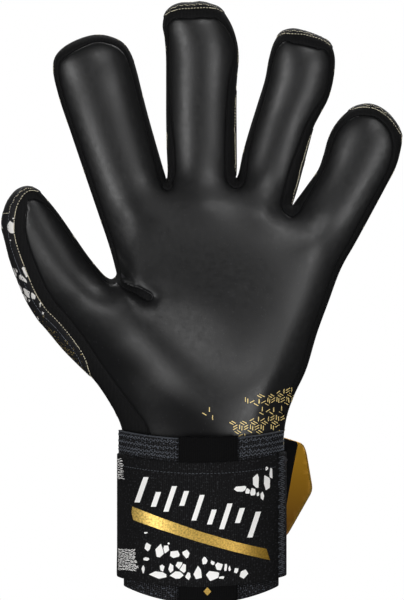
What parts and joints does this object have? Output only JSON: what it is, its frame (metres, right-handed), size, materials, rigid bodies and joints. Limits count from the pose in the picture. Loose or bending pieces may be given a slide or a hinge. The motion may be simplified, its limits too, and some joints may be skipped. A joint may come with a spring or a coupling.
{
  "type": "goalkeeper glove",
  "caption": "Left-hand goalkeeper glove with a padded latex palm, fabric gussets, a printed back and a strapped elastic wrist.",
  "frame": {"origin": "centre of the cuff's hand opening at its lower edge", "axes": "+Z from the cuff to the fingertips, palm towards -Y, thumb towards -X"},
  "size_m": [0.2015, 0.0631, 0.2926],
  "materials": {
    "latex_foam": "smooth satin latex foam with a fine grain",
    "back_panel": "embossed woven back panel with pale and gold print",
    "gusset_fabric": "matte stretch fabric",
    "lining": "brushed knit lining",
    "knit_band": "ribbed elastic knit",
    "strap_elastic": "woven elastic with pale and gold print",
    "pull_webbing": "smooth narrow webbing",
    "closure_coating": "satin gold coated fabric",
    "hook_tape": "fine hooks",
    "loop_tape": "brushed loops"
  },
  "bodies": {
    "cuff": {"cuff_sleeve": "lining", "upper_knit_band": "knit_band", "lower_hem_band": "knit_band", "pull_strip": "pull_webbing", "wrist_strap_front": "strap_elastic", "strap_end_binding": "strap_elastic", "loop_patch": "loop_tape"},
    "strap": {"wrist_strap_back": "strap_elastic"},
    "strap_tab": {"closure_tab": "closure_coating", "hook_patch": "hook_tape"},
    "pull_tab": {"pull_loop": "pull_webbing"},
    "hand": {"palm_latex": "latex_foam", "backhand_panel": "back_panel", "thumb_side_gusset": "gusset_fabric", "pinky_side_gusset": "gusset_fabric", "finger_webs": "gusset_fabric", "palm_lining": "lining", "back_lining": "lining", "wrist_knit": "knit_band"},
    "index_root": {"index_palm_proximal": "latex_foam", "index_back_proximal": "back_panel", "index_gusset_proximal": "gusset_fabric"},
    "index_tip": {"index_palm_distal": "latex_foam", "index_back_distal": "back_panel", "index_gusset_distal": "gusset_fabric"},
    "middle_root": {"middle_palm_proximal": "latex_foam", "middle_back_proximal": "back_panel", "middle_gusset_proximal": "gusset_fabric"},
    "middle_tip": {"middle_palm_distal": "latex_foam", "middle_back_distal": "back_panel", "middle_gusset_distal": "gusset_fabric"},
    "ring_root": {"ring_palm_proximal": "latex_foam", "ring_back_proximal": "back_panel", "ring_gusset_proximal": "gusset_fabric"},
    "ring_tip": {"ring_palm_distal": "latex_foam", "ring_back_distal": "back_panel", "ring_gusset_distal": "gusset_fabric"},
    "pinky_root": {"pinky_palm_proximal": "latex_foam", "pinky_back_proximal": "back_panel", "pinky_gusset_proximal": "gusset_fabric"},
    "pinky_tip": {"pinky_palm_distal": "latex_foam", "pinky_back_distal": "back_panel", "pinky_gusset_distal": "gusset_fabric"},
    "thumb_root": {"thumb_palm_proximal": "latex_foam", "thumb_back_proximal": "back_panel", "thumb_gusset_proximal": "gusset_fabric"},
    "thumb_tip": {"thumb_palm_distal": "latex_foam", "thumb_back_distal": "back_panel", "thumb_gusset_distal": "gusset_fabric"}
  },
  "joints": [
    {"name": "wrist_flex", "type": "hinge", "parent": "cuff", "child": "hand", "pos_m": [0, 0, 0.08], "axis": [1, 0, 0], "range_deg": [-25, 30], "stiffness_Nm_per_rad": 0.6, "deforming": ["wrist_knit"]},
    {"name": "strap_opens", "type": "hinge", "parent": "cuff", "child": "strap", "pos_m": [-0.0412, -0.002, 0.0375], "axis": [0, 0, 1], "range_deg": [0, 100], "stiffness_Nm_per_rad": 0.05},
    {"name": "closure_tab_opens", "type": "hinge", "parent": "strap", "child": "strap_tab", "pos_m": [-0.0066, 0.0262, 0.0375], "axis": [0, 0, 1], "range_deg": [0, 100], "stiffness_Nm_per_rad": 0.05},
    {"name": "pull_loop_lifts", "type": "hinge", "parent": "cuff", "child": "pull_tab", "pos_m": [0.0035, -0.0282, 0.0095], "axis": [-1, 0, 0], "range_deg": [0, 75], "stiffness_Nm_per_rad": 0.01},
    {"name": "index_base", "type": "hinge", "parent": "hand", "child": "index_root", "pos_m": [-0.03768, -0.0112, 0.20741], "axis": [0.9888, 0.0155, 0.1486], "range_deg": [0, 70], "stiffness_Nm_per_rad": 0.06},
    {"name": "index_middle", "type": "hinge", "parent": "index_root", "child": "index_tip", "pos_m": [-0.04699, -0.01454, 0.23785], "axis": [0.9888, 0.0155, 0.1486], "range_deg": [0, 70], "stiffness_Nm_per_rad": 0.04},
    {"name": "middle_base", "type": "hinge", "parent": "hand", "child": "middle_root", "pos_m": [0.0008, -0.0117, 0.21084], "axis": [1, 0, 0], "range_deg": [0, 70], "stiffness_Nm_per_rad": 0.06},
    {"name": "middle_middle", "type": "hinge", "parent": "middle_root", "child": "middle_tip", "pos_m": [0.0008, -0.01567, 0.24863], "axis": [1, 0, 0], "range_deg": [0, 70], "stiffness_Nm_per_rad": 0.04},
    {"name": "ring_base", "type": "hinge", "parent": "hand", "child": "ring_root", "pos_m": [0.0345, -0.0112, 0.20947], "axis": [0.9901, -0.0145, -0.1399], "range_deg": [0, 70], "stiffness_Nm_per_rad": 0.06},
    {"name": "ring_middle", "type": "hinge", "parent": "ring_root", "child": "ring_tip", "pos_m": [0.04327, -0.01454, 0.24006], "axis": [0.9901, -0.0145, -0.1399], "range_deg": [0, 70], "stiffness_Nm_per_rad": 0.04},
    {"name": "pinky_base", "type": "hinge", "parent": "hand", "child": "pinky_root", "pos_m": [0.06527, -0.0107, 0.19115], "axis": [0.9718, -0.0244, -0.2346], "range_deg": [0, 70], "stiffness_Nm_per_rad": 0.06},
    {"name": "pinky_middle", "type": "hinge", "parent": "pinky_root", "child": "pinky_tip", "pos_m": [0.07655, -0.01332, 0.2133], "axis": [0.9718, -0.0244, -0.2346], "range_deg": [0, 70], "stiffness_Nm_per_rad": 0.04},
    {"name": "thumb_base", "type": "hinge", "parent": "hand", "child": "thumb_root", "pos_m": [-0.06457, -0.01832, 0.1526], "axis": [0.866, 0, 0.5], "range_deg": [0, 40], "stiffness_Nm_per_rad": 0.06},
    {"name": "thumb_middle", "type": "hinge", "parent": "thumb_root", "child": "thumb_tip", "pos_m": [-0.07729, -0.02372, 0.17463], "axis": [0.866, 0, 0.5], "range_deg": [0, 55], "stiffness_Nm_per_rad": 0.04}
  ]
}
